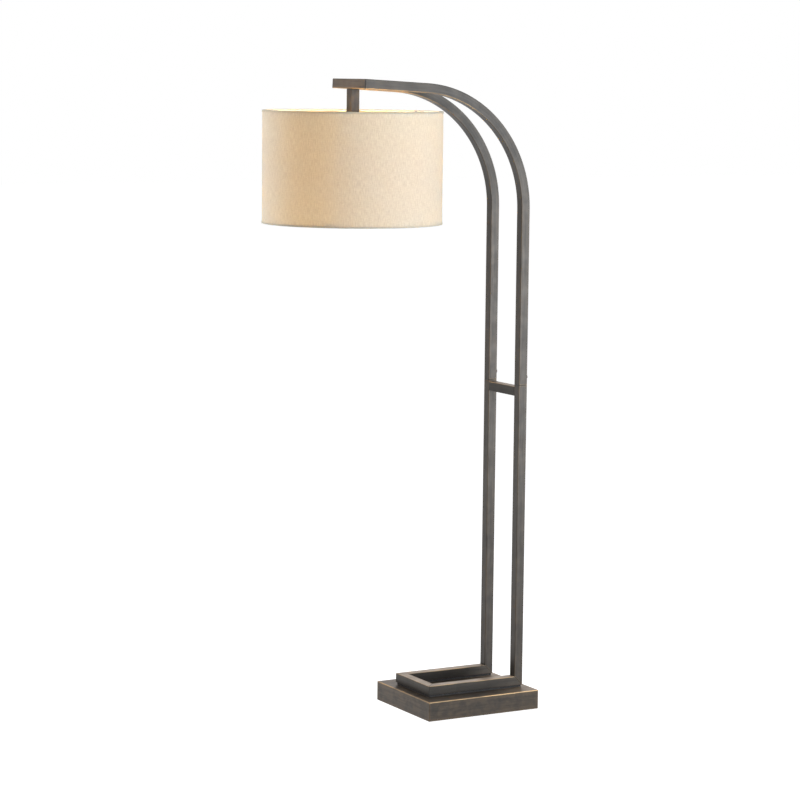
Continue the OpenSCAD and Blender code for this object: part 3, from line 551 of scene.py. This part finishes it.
def make_hem(name, node, edge_z, up):
    """The tape folded over a ring: 5 mm down the outside, across the edge and a little way in.

    The end of its outer leg waves round the drum: its height is 5 mm times 1 + 0.03 w, with
    w = (sin 5a + sin(11a + 1) + sin(23a + 2)) / 3.
    """
    profile = soft_profile([(HEM_OUT, 0.005), (HEM_OUT, 0), (0.2230, 0), (0.2230, 0.0012),
                            (0.2235, 0.0012), (0.2235, 0.0005), (HEM_IN, 0.0005),
                            (HEM_IN, 0.005)],
                           [0.0002, 0.0010, 0.0009, 0.0002, 0.0002, 0.0001, 0.0005, 0.0002])
    leg = np.linspace(0.0044, 0.0014, 5)[:, None]
    profile = np.vstack([profile[:6], np.hstack([np.full_like(leg, HEM_OUT), leg]), profile[6:-6],
                         np.hstack([np.full_like(leg, HEM_IN), leg[::-1]]), profile[-6:]])
    across, down = profile.T
    a = angles(480)[:, None]
    wave = (np.sin(5 * a) + np.sin(11 * a + 1) + np.sin(23 * a + 2)) / 3
    h = down * (1 + 0.03 * wave * (down > 0.0045))
    points = np.stack([HEAD[0] + across * np.cos(a), across * np.sin(a), edge_z + up * h], -1)
    path = np.concatenate([[0], np.cumsum(np.linalg.norm(np.diff(profile, axis=0), axis=1))])
    uv = np.stack([np.broadcast_to(a * HEM_UV_R, h.shape), np.broadcast_to(path, h.shape)], -1)
    return skin(name, node, points, uv=uv, uv_turn=(TURN * HEM_UV_R, path[-1] + 0.0005),
                crease=60)


make_tubes()
make_joint_screws()
make_grommet()
make_socket()
make_key()
make_ring_nut()
make_bulb()
make_spider()
wire_ring("shade_upper_ring", "shade_top_ring", TOP_RING_Z)
wire_ring("shade_lower_ring", "shade_bottom_ring", LOW_RING_Z)
make_liner()
linen = make_linen()
top_hem = make_hem("shade_upper_hem", "shade_top_hem", SHADE_Z1, -1)
low_hem = make_hem("shade_lower_hem", "shade_bottom_hem", SHADE_Z0, 1)


# ---------------------------------------------------------------- node building

class Signal:
    """What a node gives out. Arithmetic on it places Math nodes in its tree."""

    def __init__(self, socket):
        self.socket, self.tree = socket, socket.id_data

    def __abs__(self):
        return maths("ABSOLUTE", self)


def tree_of(values):
    """The tree of the first signal among values."""
    return next(v.tree for v in values if isinstance(v, Signal))


def signals(sockets):
    """Sockets as signals, by number and by name; the first of a name holds it."""
    found = [Signal(s) for s in sockets]
    return dict(enumerate(found)) | {s.socket.name: s for s in reversed(found)}


def put(tree, kind, inputs=None, **settings):
    """A node of a kind in a tree: its outputs. inputs are values or signals, by socket."""
    made = tree.nodes.new("ShaderNode" + kind)
    for key, value in settings.items():
        setattr(made, key, value)
    for key, value in (inputs or {}).items():
        if isinstance(value, Signal):
            tree.links.new(value.socket, made.inputs[key])
        else:
            made.inputs[key].default_value = value
    return signals(made.outputs)


def maths(operation, *values):
    """A Math node's value."""
    return put(tree_of(values), "Math", dict(enumerate(values)), operation=operation)[0]


for sign, operation in (("add", "ADD"), ("sub", "SUBTRACT"), ("mul", "MULTIPLY"),
                        ("truediv", "DIVIDE")):
    setattr(Signal, f"__{sign}__", lambda a, b, operation=operation: maths(operation, a, b))
    setattr(Signal, f"__r{sign}__", lambda a, b, operation=operation: maths(operation, b, a))


def ramp(value, low, high, start=0.0, end=1.0, tree=None):
    """A smooth step from start to end while value goes from low to high.

    A value that may be a plain number needs its tree.
    """
    return put(tree or value.tree, "MapRange",
               {"Value": value, "From Min": low, "From Max": high, "To Min": start,
                "To Max": end}, interpolation_type="SMOOTHSTEP")["Result"]


def blend(factor, a, b, mode="MIX"):
    """Two colours mixed by a factor."""
    return put(tree_of((factor, a, b)), "Mix", {0: factor, 6: a, 7: b}, data_type="RGBA",
               blend_type=mode)[2]


def split(vector):
    """A vector's three numbers."""
    parts = put(vector.tree, "SeparateXYZ", {0: vector})
    return [parts[k] for k in "XYZ"]


def noise(vector, scale, detail, rough=0.5, warp=0.0):
    """Cloud noise from 0 to 1. A triple scale stretches the clouds."""
    if isinstance(scale, tuple):
        vector = put(vector.tree, "VectorMath", {0: vector, 1: scale}, operation="MULTIPLY")[0]
        scale = 1
    return put(vector.tree, "TexNoise", {"Vector": vector, "Scale": scale, "Detail": detail,
                                         "Roughness": rough, "Distortion": warp})["Fac"]


def group(**inputs):
    """Makes a function of signals, which gives a dict of outputs, a node group of its name.

    Each input's first value says its kind: a triple is a vector. Calling the result with some of
    the inputs places the group in their tree.
    """
    def build(effect):
        tree = bpy.data.node_groups.new(effect.__name__, "ShaderNodeTree")

        def add(label, kind, in_out):
            return tree.interface.new_socket(label, in_out=in_out, socket_type="NodeSocket" + kind)

        for key, start in inputs.items():
            kind = "Vector" if isinstance(start, tuple) else "Float"
            add(key.capitalize(), kind, "INPUT").default_value = start
        given = tree.nodes.new("NodeGroupInput").outputs
        wanted = effect(**{key: Signal(given[key.capitalize()]) for key in inputs})
        for label in wanted:
            add(label, "Float", "OUTPUT")
        ends = tree.nodes.new("NodeGroupOutput").inputs
        for label, signal in wanted.items():
            tree.links.new(signal.socket, ends[label])
        return lambda **values: put(tree_of(values.values()), "Group",
                                    {key.capitalize(): value for key, value in values.items()},
                                    node_tree=tree)
    return build


@group(vector=(0, 0, 0))
def brushed(vector):
    """Brushing: long thin streaks along the first axis, in three widths, and their relief."""
    broad = noise(vector, (5, 160, 160), 2)
    narrow = noise(vector, (14, 620, 620), 2)
    hair = noise(vector, (40, 3200, 3200), 1)
    return {"Streak": ramp(broad * 0.5 + narrow * 0.5, 0.32, 0.68),
            "Height": narrow * 0.4 + hair * 0.6}


@group(distance=0.0, vector=(0, 0, 0), width=1.5)
def rubbed_edge(distance, vector, width):
    """Rubbed edges: 1 at an edge, falling to 0 over a width that wanders and breaks up."""
    wander = noise(vector, (35, 35, 35), 3, 0.6)
    worn = ramp(noise(vector, (9, 9, 9), 2), 0.3, 0.62, 0.2, 1.0)
    nearness = 1.0 - distance / (width * (wander + 0.5))
    return {"Mask": ramp(nearness, 0.0, 0.9) * worn}


@group(vector=(0, 0, 0), size=0.02)
def mottle(vector, size):
    """Mottle: clouds in two sizes, and a fine tooth for relief."""
    fine = 1.0 / size
    return {"Cloud": ramp(noise(vector, fine, 4.0, 0.6, 0.4), 0.3, 0.7),
            "Tooth": noise(vector, fine * 9.0, 2.0)}


@group(vector=(0, 0, 0), pitch=0.0006)
def weave(vector, pitch):
    """Plain weave: threads cross in turn over and under, and some swell into slubs.

    With x and y counted in threads, a warp thread's height is |sin(pi x)| (0.4 + 0.6 c) and a weft
    thread's |sin(pi y)| (1 - 0.6 c), where c goes smoothly from 0 to 1 with sin(pi x) sin(pi y);
    the cloth's height is the greater one.
    """
    x, y, _ = split(vector)
    turns = math.pi / pitch
    waver = (noise(vector, 60, 2, 0.55) - 0.5) * 2.2
    warp, weft = maths("SINE", x * turns + waver), maths("SINE", y * turns + waver)
    over = ramp(warp * weft, -0.3, 0.3)
    threads = maths("MAXIMUM", abs(warp) * (over * 0.6 + 0.4),
                    abs(weft) * ((1.0 - over) * 0.6 + 0.4))
    upright = noise(vector, (520, 60, 1), 2, 0.7)
    level = noise(vector, (70, 620, 1), 2, 0.7)
    slub = ramp(upright, 0.3, 0.7) * 0.65 + ramp(level, 0.3, 0.7) * 0.35
    return {"Height": threads * 0.5 + slub * 0.8, "Slub": slub}


# ---------------------------------------------------------------- materials

def material(name):
    """A new material with no nodes, and its tree."""
    made = bpy.data.materials.new(name)
    made.use_nodes = True
    made.node_tree.nodes.clear()
    return made, made.node_tree


def relief(height, depth, strength):
    """A bump normal from a height from 0 to 1, that many metres deep."""
    return put(height.tree, "Bump", {"Height": height, "Distance": depth,
                                     "Strength": strength})[0]


def object_place(tree):
    """Where a point is on its piece, in metres."""
    return put(tree, "TexCoord")["Object"]


def own_uv(tree):
    """A piece's own UV map, which is metres along its surface."""
    return put(tree, "UVMap", uv_map="surface")[0]


DARK, MID = (0.024, 0.020, 0.017, 1), (0.062, 0.053, 0.046, 1)
# the pale taupe is painted light on top faces and on the head; the near-black seam colour is the
# dirt in the seams and also the painted shade
BROWN, TAUPE = (0.105, 0.076, 0.053, 1), (0.400, 0.305, 0.230, 1)
GOLD, SEAM_DIRT_AND_SHADE = (0.70, 0.45, 0.22, 1), (0.006, 0.005, 0.004, 1)
HALO_WIDTH = 14.0


def bronze(name, places, patina, rub_width=1.5, glance=(0.64, 0.61, 0.59), dirt_width=1.7):
    """Dark bronze over brushed steel, rubbed to gold along its edges and dirty in its seams.

    places(tree) gives the brushing's vector, the pattern's vector, the distances to an edge and to
    a seam in millimetres, how much gold shows at the edges, where the metal is painted pale
    (painted light), and how much of its colour the metal keeps where it is painted darker: painted
    shade on the inner faces of the posts and arms and on the sides of the rails, the bar and the
    base, and a plain darkening of the stem and of the arms high up. That darkening also hides the
    gold beside a seam.

    patina is how brown the clouds are, rub_width and dirt_width are how wide the gold at an edge
    and the dirt at a seam are, in millimetres, and glance is the tint of the shine at a low angle.
    """
    made, tree = material(name)
    along, place, edge, seam, gilt, painted_pale, clean_and_lit = places(tree)
    brush = brushed(vector=along)
    streak = brush["Streak"]
    cloud = mottle(vector=place, size=0.045)["Cloud"]
    stain = mottle(vector=place, size=0.022)["Cloud"]
    # gold at the edges: rubbed through the bronze, and on the arms' undersides near the head also
    # painted warm lamp light
    rub_and_lamp_glow = rubbed_edge(distance=edge, vector=place, width=rub_width)["Mask"] * gilt
    halo = rubbed_edge(distance=edge, vector=place, width=HALO_WIDTH)["Mask"]
    seam_line = ramp(seam, 0.3 * dirt_width, dirt_width, 1.0, 0.0, tree)
    seam_rub = (ramp(seam, 1.5, 4.0, 0.2, 0.0, tree) * ramp(edge, 2.0, 5.0, 1.0, 0.35)
                * ramp(clean_and_lit, 0.8, 1.0, tree=tree))
    tone = streak * 0.6 + cloud * 0.4
    colour = blend(tone, DARK, MID)
    colour = blend((stain + halo) * ((streak + 0.4) * patina), colour, BROWN)
    # painted shade: the metal is darkened towards near black where the places say
    colour = blend(clean_and_lit, SEAM_DIRT_AND_SHADE, colour)
    # painted light: the metal is painted a paler taupe where the places say
    colour = blend(painted_pale * ramp(tone, 0.1, 0.9, 0.55, 1.0), colour, TAUPE)
    shown = maths("MAXIMUM", rub_and_lamp_glow, seam_rub)
    colour = blend(shown, colour, GOLD)
    colour = blend(seam_line, colour, SEAM_DIRT_AND_SHADE)
    put(tree, "OutputMaterial", {0: put(tree, "BsdfPrincipled", {
        "Base Color": colour, "Metallic": 0.45 + shown * 0.45,
        "Roughness": ramp(tone, 0.0, 1.0, 0.44, 0.34) + shown * -0.04,
        "Specular Tint": (*glance, 1), "Coat Weight": 0.1, "Coat Roughness": 0.3,
        "Normal": relief(brush["Height"], 0.00004, 0.6)})[0]})
    return made


def tube_places(tree):
    """Places on a tube: its UV map is metres along and round it, and an edge is at each quarter."""
    uv = own_uv(tree)
    round_it = split(uv)[1]
    edge = maths("PINGPONG", round_it, QUARTER / 2) * 1000.0
    seam = put(tree, "Attribute", attribute_name="seam")["Fac"]
    return uv, object_place(tree), edge, seam, round_it


def along_arm(worn, kept_at_top):
    """Places on a post, an arm or the head.

    Gold shows at the edges of the inner face, which is the underside of an arm, near the shade: it
    is rubbed gold and painted warm light from the lamp. The middle of that face, which faces -X on
    a
    post, is painted darker: painted shade. worn is how far the metal is painted paler all over
    (painted light), and the last argument how much of its colour the metal keeps at the top, which
    is darker from 1.3 to 1.5 m up.
    """
    def places(tree):
        uv, place, edge, seam, round_it = tube_places(tree)
        off_inside = abs(round_it - 1.5 * QUARTER)
        inside = ramp(off_inside, 0.7 * QUARTER, 1.0 * QUARTER, 1.0, 0.0)
        # painted shade: the middle of the inner face is darker
        shaded_underside = ramp(off_inside, 0.5 * QUARTER, 0.6 * QUARTER, 0.6, 1.0)
        height = split(place)[2]
        # gold: rubbed edges, and painted warm lamp light along the underside near the head; last,
        # the darkening: painted shade on the inner face and a plain darkening high up
        return (uv, place, edge, seam, inside * ramp(height, 1.54, 1.610, 0.05, 0.85) + 0.02,
                worn, shaded_underside * ramp(height, 1.30, 1.50, 1.0, kept_at_top))
    return places


def along_stem(tree):
    """Places on the stem, where the patina is brown and little gold shows."""
    return *tube_places(tree)[:4], 0.04, 0.0, 0.6


def along_level(top, bright, kept_near_top, kept_near_posts=0.0):
    """Places on a level tube whose top face, at that height, is painted pale between gold edges:
    painted light.

    bright is how pale. The sides are painted darker, most at the bottom: painted shade. They keep
    0.3 of their colour at the bottom, rising to the third argument's share towards the top face,
    and by the fourth more towards the posts.
    """
    def places(tree):
        uv, place, edge, seam, _ = tube_places(tree)
        x, _, height = split(place)
        # painted light on the top face; painted shade on the sides, darkest at the bottom
        return (uv, place, edge, seam, ramp(height, top - 0.008, top - 0.0004, 0.05, 0.5),
                ramp(height, top - 0.0009, top - 0.0002, 0.0, bright),
                maths("MAXIMUM", ramp(height, top - 0.022, top - 0.001, 0.3, kept_near_top),
                      ramp(x, 0.0, POST_X, 0.0, kept_near_posts)))
    return places


# the cover's half length, half width, top and bottom edge, and a distance past any seam, in mm
BASE_X, BASE_Y, BASE_TOP, BASE_LOW, NO_SEAM = 165.0, 140.0, 51.0, 1.0, 50.0


def on_base(tree):
    """Places on the base: the distance to its nearest edge is the middle one of three.

    The three are the distances to the nearer end, the nearer side and the nearer of top and bottom.
    """
    place = object_place(tree)
    x, y, z = split(place)
    a, b, height = BASE_X - abs(x) * 1000.0, BASE_Y - abs(y) * 1000.0, z * 1000.0
    c = maths("MINIMUM", BASE_TOP - height, height - BASE_LOW)
    middle = maths("MAXIMUM", maths("MINIMUM", a, b),
                   maths("MINIMUM", maths("MAXIMUM", a, b), c))
    top = ramp(height, 49.4, 50.6)
    round_sides = put(tree, "CombineXYZ", {0: x + y, 1: z, 2: 0.0})[0]
    lined = put(tree, "Mix", {0: top, 4: round_sides, 5: place}, data_type="VECTOR")[1]
    # painted light: the top is painted paler towards the posts' end, a painted reflection; painted
    # shade: the sides keep less of their colour than the top
    return (lined, place, middle, NO_SEAM, ramp(height, 46.0, 50.4, 0.1, 0.8),
            top * ramp(x, 0.02, 0.16, 0.0, 0.75), ramp(top, 0.0, 1.0, 0.62, 0.9))


def plain(name, colour, roughness, metallic, size, vary, depth=0.00003, strength=0.5, **sockets):
    """A material in one colour that is clouded, with its roughness, and has a fine tooth.

    size is the clouds', in metres, vary how far they change the colour, and depth and strength the
    tooth's.
    """
    made, tree = material(name)
    mottled = mottle(vector=object_place(tree), size=size)
    cloud = mottled["Cloud"]
    low = tuple(c * (1 - vary) for c in colour) + (1,)
    high = tuple(min(c * (1 + vary), 1) for c in colour) + (1,)
    put(tree, "OutputMaterial", {0: put(tree, "BsdfPrincipled", {
        "Base Color": blend(cloud, low, high), "Metallic": metallic,
        "Roughness": ramp(cloud, 0, 1, roughness * 1.12, roughness * 0.9),
        "Normal": relief(mottled["Tooth"], depth, strength),
        **{key.replace("_", " "): value for key, value in sockets.items()}})[0]})
    return made


def finish_thin(tree, front, colour, translucency, tint=(1, 1, 1, 1)):
    """Finishes a thin skin: its surface and the light let through, counted once for its two faces.

    The light let through is tinted. A ray that leaves the skin from inside it, on a back face,
    passes freely.
    """
    warmed = blend(1.0, colour, tint, "MULTIPLY")
    through = put(tree, "BsdfTranslucent", {"Color": warmed})[0]
    both = put(tree, "MixShader", {0: translucency, 1: front, 2: through})[0]
    clear = put(tree, "BsdfTransparent")[0]
    back = put(tree, "NewGeometry")["Backfacing"]
    put(tree, "OutputMaterial", {0: put(tree, "MixShader", {0: back, 1: both, 2: clear})[0]})


def cloth(name, pale, deep, pitch, translucency):
    """Woven cloth: a Principled surface mixed with a little light let through."""
    made, tree = material(name)
    woven = weave(vector=own_uv(tree), pitch=pitch)
    cloud = mottle(vector=own_uv(tree), size=0.12)["Cloud"]
    colour = blend(woven["Slub"] * 0.95 + cloud * 0.05, deep, pale)
    front = put(tree, "BsdfPrincipled",
                {"Base Color": colour, "Roughness": 0.85, "Sheen Weight": 0.3,
                 "Sheen Roughness": 0.45, "Sheen Tint": (1.0, 0.97, 0.92, 1),
                 "Specular IOR Level": 0.2, "Normal": relief(woven["Height"], 0.00025, 0.7)})[0]
    finish_thin(tree, front, colour, translucency, (1.0, 0.85, 0.36, 1))
    return made


def film(name, colour, translucency):
    """The translucent liner: a smooth film, faintly clouded."""
    made, tree = material(name)
    mottled = mottle(vector=object_place(tree), size=0.09)
    tint = blend(mottled["Cloud"], tuple(0.95 * c for c in colour) + (1,), colour + (1,))
    front = put(tree, "BsdfPrincipled", {"Base Color": tint, "Roughness": 0.5,
                                         "Normal": relief(mottled["Tooth"], 0.00002, 0.4)})[0]
    finish_thin(tree, front, tint, translucency)
    return made


def dress(look, slot="", pieces="", carried="", body="lamp_frame"):
    """Gives pieces a material and the body that they ride on. The slot is not used.

    The CAD nodes that are carried over get the material in the slots that they have.
    """
    for piece in (bpy.data.objects[name] for name in pieces.split()):
        piece.data.materials.append(look)
        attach(piece, body)
    for name in carried.split():
        for holder in cad[name].material_slots:
            holder.material = look


dress(bronze("bronze_tube_finish", along_arm(0.0, 0.6), 0.2, 2.2), "bronze_tube",
      "near_post near_arm far_post far_arm")
# the head's bronze is painted paler all over than the arms': painted light
dress(bronze("bronze_head_finish", along_arm(0.15, 0.8), 0.4, 2.2, dirt_width=5.0),
      "bronze_tube", "head_cross_tube")
dress(bronze("bronze_stem_finish", along_stem, 0.7), "bronze_tube", "shade_stem")
dress(bronze("bronze_ring_finish", along_level(RING_Z + HALF, 0.95, 0.6, 0.9), 0.15,
             glance=(0.90, 0.85, 0.80)),
      "bronze_tube", "ring_front_rail ring_near_rail ring_far_rail")
dress(bronze("bronze_bar_finish", along_level(BAR_Z + HALF, 0.7, 0.5), 0.1,
             glance=(0.52, 0.49, 0.46)), "bronze_tube", "post_cross_bar")
dress(bronze("bronze_base_finish", on_base, 0.9, 3.0, (0.86, 0.78, 0.72)), carried="base_cover")

# name, colour, roughness, metallic, size of clouds, how far they vary, and more, then who wears it
for (name, *look), *worn_by in (
        (("bronze_screw_finish", (0.12, 0.10, 0.085), 0.38, 0.7, 0.004, 0.35),
         "bronze_tube", "near_joint_screw far_joint_screw", "stem_end_plate"),
        (("zinc_plate", (0.55, 0.56, 0.57), 0.34, 0.9, 0.006, 0.15), "", "",
         "floor_plate floor_plate_screws frame_bolts bolt_washers rail_nuts near_joint_insert "
         "far_joint_insert"),
        (("satin_black_steel", (0.03, 0.03, 0.03), 0.45, 0.0, 0.01, 0.3), "", "", "seat_washer"),
        (("cast_iron_primer", (0.10, 0.10, 0.105), 0.75, 0.0, 0.012, 0.3, 0.0003, 0.8),
         "", "", "base_weight"),
        (("pressed_felt", (0.05, 0.048, 0.045), 0.95, 0.0, 0.003, 0.4, 0.0004, 0.9),
         "", "", "floor_pad"),
        (("grommet_black_rubber", (0.022, 0.020, 0.019), 0.75, 0.0, 0.005, 0.25),
         "grommet_rubber", "inlet_grommet_rubber", "ring_packing"),
        (("plain_brass", (0.72, 0.55, 0.27), 0.28, 1.0, 0.006, 0.15),
         "brass", "lamp_screw_shell lamp_centre_contact", "socket_nipple nipple_nuts"),
        (("satin_nickel", (0.75, 0.73, 0.69), 0.25, 1.0, 0.006, 0.1), "nickel", "bulb_screw_cap"),
        (("black_glass_bead", (0.02, 0.02, 0.02), 0.12, 0.0, 0.004, 0.2),
         "black_glass", "bulb_tip_insulator"),
        (("lead_sheath_black", (0.05, 0.05, 0.05), 0.5, 0.0, 0.01, 0.2), "", "", "internal_lead"),
        (("ivory_enamel_wire", (0.75, 0.72, 0.66), 0.4, 0.0, 0.01, 0.08), "shade_wire",
         "spider_hub_plate spider_wire_0 spider_wire_1 spider_wire_2 shade_upper_ring "
         "shade_lower_ring", "", "shade")):
    dress(plain(name, *look), *worn_by)

phenolic = plain("moulded_phenolic", (0.035, 0.032, 0.03), 0.38, 0.0, 0.01, 0.3)
dress(phenolic, "phenolic", "socket_cap_shell socket_body_shell shade_ring_nut_body")
dress(phenolic, "phenolic", "switch_key_knob", body="switch_key")
dress(plain("frosted_glass_lit", (0.95, 0.92, 0.84), 0.55, 0.0, 0.02, 0.03,
            Transmission_Weight=0.4, Emission_Color=(1.0, 0.82, 0.55, 1), Emission_Strength=1.6),
      "bulb_glass", "bulb_glass_pear")
dress(plain("filament_core_lit", (1.0, 0.78, 0.42), 0.4, 0.0, 0.01, 0.1,
            Emission_Color=(1.0, 0.7, 0.35, 1), Emission_Strength=4.0),
      "filament", "bulb_filament_core")
dress(film("liner_film_cream", (0.93, 0.81, 0.64), 0.7), "shade_liner", "shade_liner_film",
      body="shade")
dress(cloth("natural_linen", (0.88, 0.86, 0.815, 1), (0.68, 0.64, 0.585, 1), 0.0006, 0.3),
      "linen", "shade_linen", body="shade")
dress(cloth("linen_hem_tape", (0.84, 0.81, 0.75, 1), (0.67, 0.63, 0.56, 1), 0.0005, 0.35),
      "hem_tape", "shade_upper_hem shade_lower_hem", body="shade")


# ---------------------------------------------------------------- studio

FLOOR_HALF, FLOOR_Z = 30, -0.0003
COOL, WARM = (0.82, 0.92, 1.0), (1.0, 0.76, 0.45)


def looked_at(tree):
    """1 for a ray from the camera, from gloss or through glass, and 0 for one that only lights."""
    path = put(tree, "LightPath")
    return maths("MAXIMUM", maths("MAXIMUM", path["Is Camera Ray"], path["Is Glossy Ray"]),
                 path["Is Transmission Ray"])


def white_stage():
    """A large pale floor that is white to the camera and keeps the lamp's shadow.

    It lies just under the felt pad, whose face it would otherwise share.
    """
    mesh = bpy.data.meshes.new("studio_floor")
    mesh.from_pydata([(x * FLOOR_HALF, y * FLOOR_HALF, FLOOR_Z)
                      for x, y in ((-1, -1), (1, -1), (1, 1), (-1, 1))], [], [(0, 1, 2, 3)])
    look, tree = material("studio_floor_white")
    put(tree, "OutputMaterial", {0: put(tree, "BsdfPrincipled", {
        "Base Color": (0.5, 0.5, 0.5, 1), "Roughness": 0.9, "Specular IOR Level": 0.0,
        "Emission Color": (1, 1, 1, 1), "Emission Strength": looked_at(tree) * 0.9})[0]})
    mesh.materials.append(look)
    into_scene("studio_floor", mesh)


def white_world(ambient):
    """White to the camera, in gloss and through glass; a softer white as fill light."""
    world = bpy.data.worlds.new("studio")
    bpy.context.scene.world = world
    world.use_nodes = True
    tree = world.node_tree
    tree.nodes.clear()
    strength = ambient + looked_at(tree) * (1 - ambient)
    put(tree, "OutputWorld", {0: put(tree, "Background", {"Color": (1, 1, 1, 1),
                                                          "Strength": strength})[0]})


def softbox(name, place, target, size, power, mirrored):
    """A square soft light at a place, turned towards a target. Metal may mirror it or not."""
    light = bpy.data.lights.new(name, "AREA")
    light.shape, light.size, light.energy, light.color = "SQUARE", size, power, COOL
    box = into_scene(name, light)
    box.location = place
    box.rotation_euler = (Vector(target) - Vector(place)).to_track_quat("-Z", "Y").to_euler()
    box.visible_glossy = mirrored


def bulb_light(power):
    """The bulb's own warm light, a ball just larger than the glass."""
    light = bpy.data.lights.new("bulb_light", "POINT")
    light.energy, light.color, light.shadow_soft_size = power, WARM, BULB_R + 0.0025
    into_scene("bulb_light", light).location = (HEAD[0], 0, BULB_Z)


white_stage()
white_world(0.22)
softbox("key", (1.95, -3.6, 1.35), (-0.2, 0, 1.1), 3.0, 178, True)
softbox("fill", (-2.2, -4.2, 1.9), (-0.3, 0, 1.3), 2.0, 25, False)
softbox("rim", (-2.75, 3.55, 1.9), (-0.33, 0, 1.2), 2.4, 205, False)
bulb_light(50)

bpy.context.scene.view_settings.view_transform = "Standard"
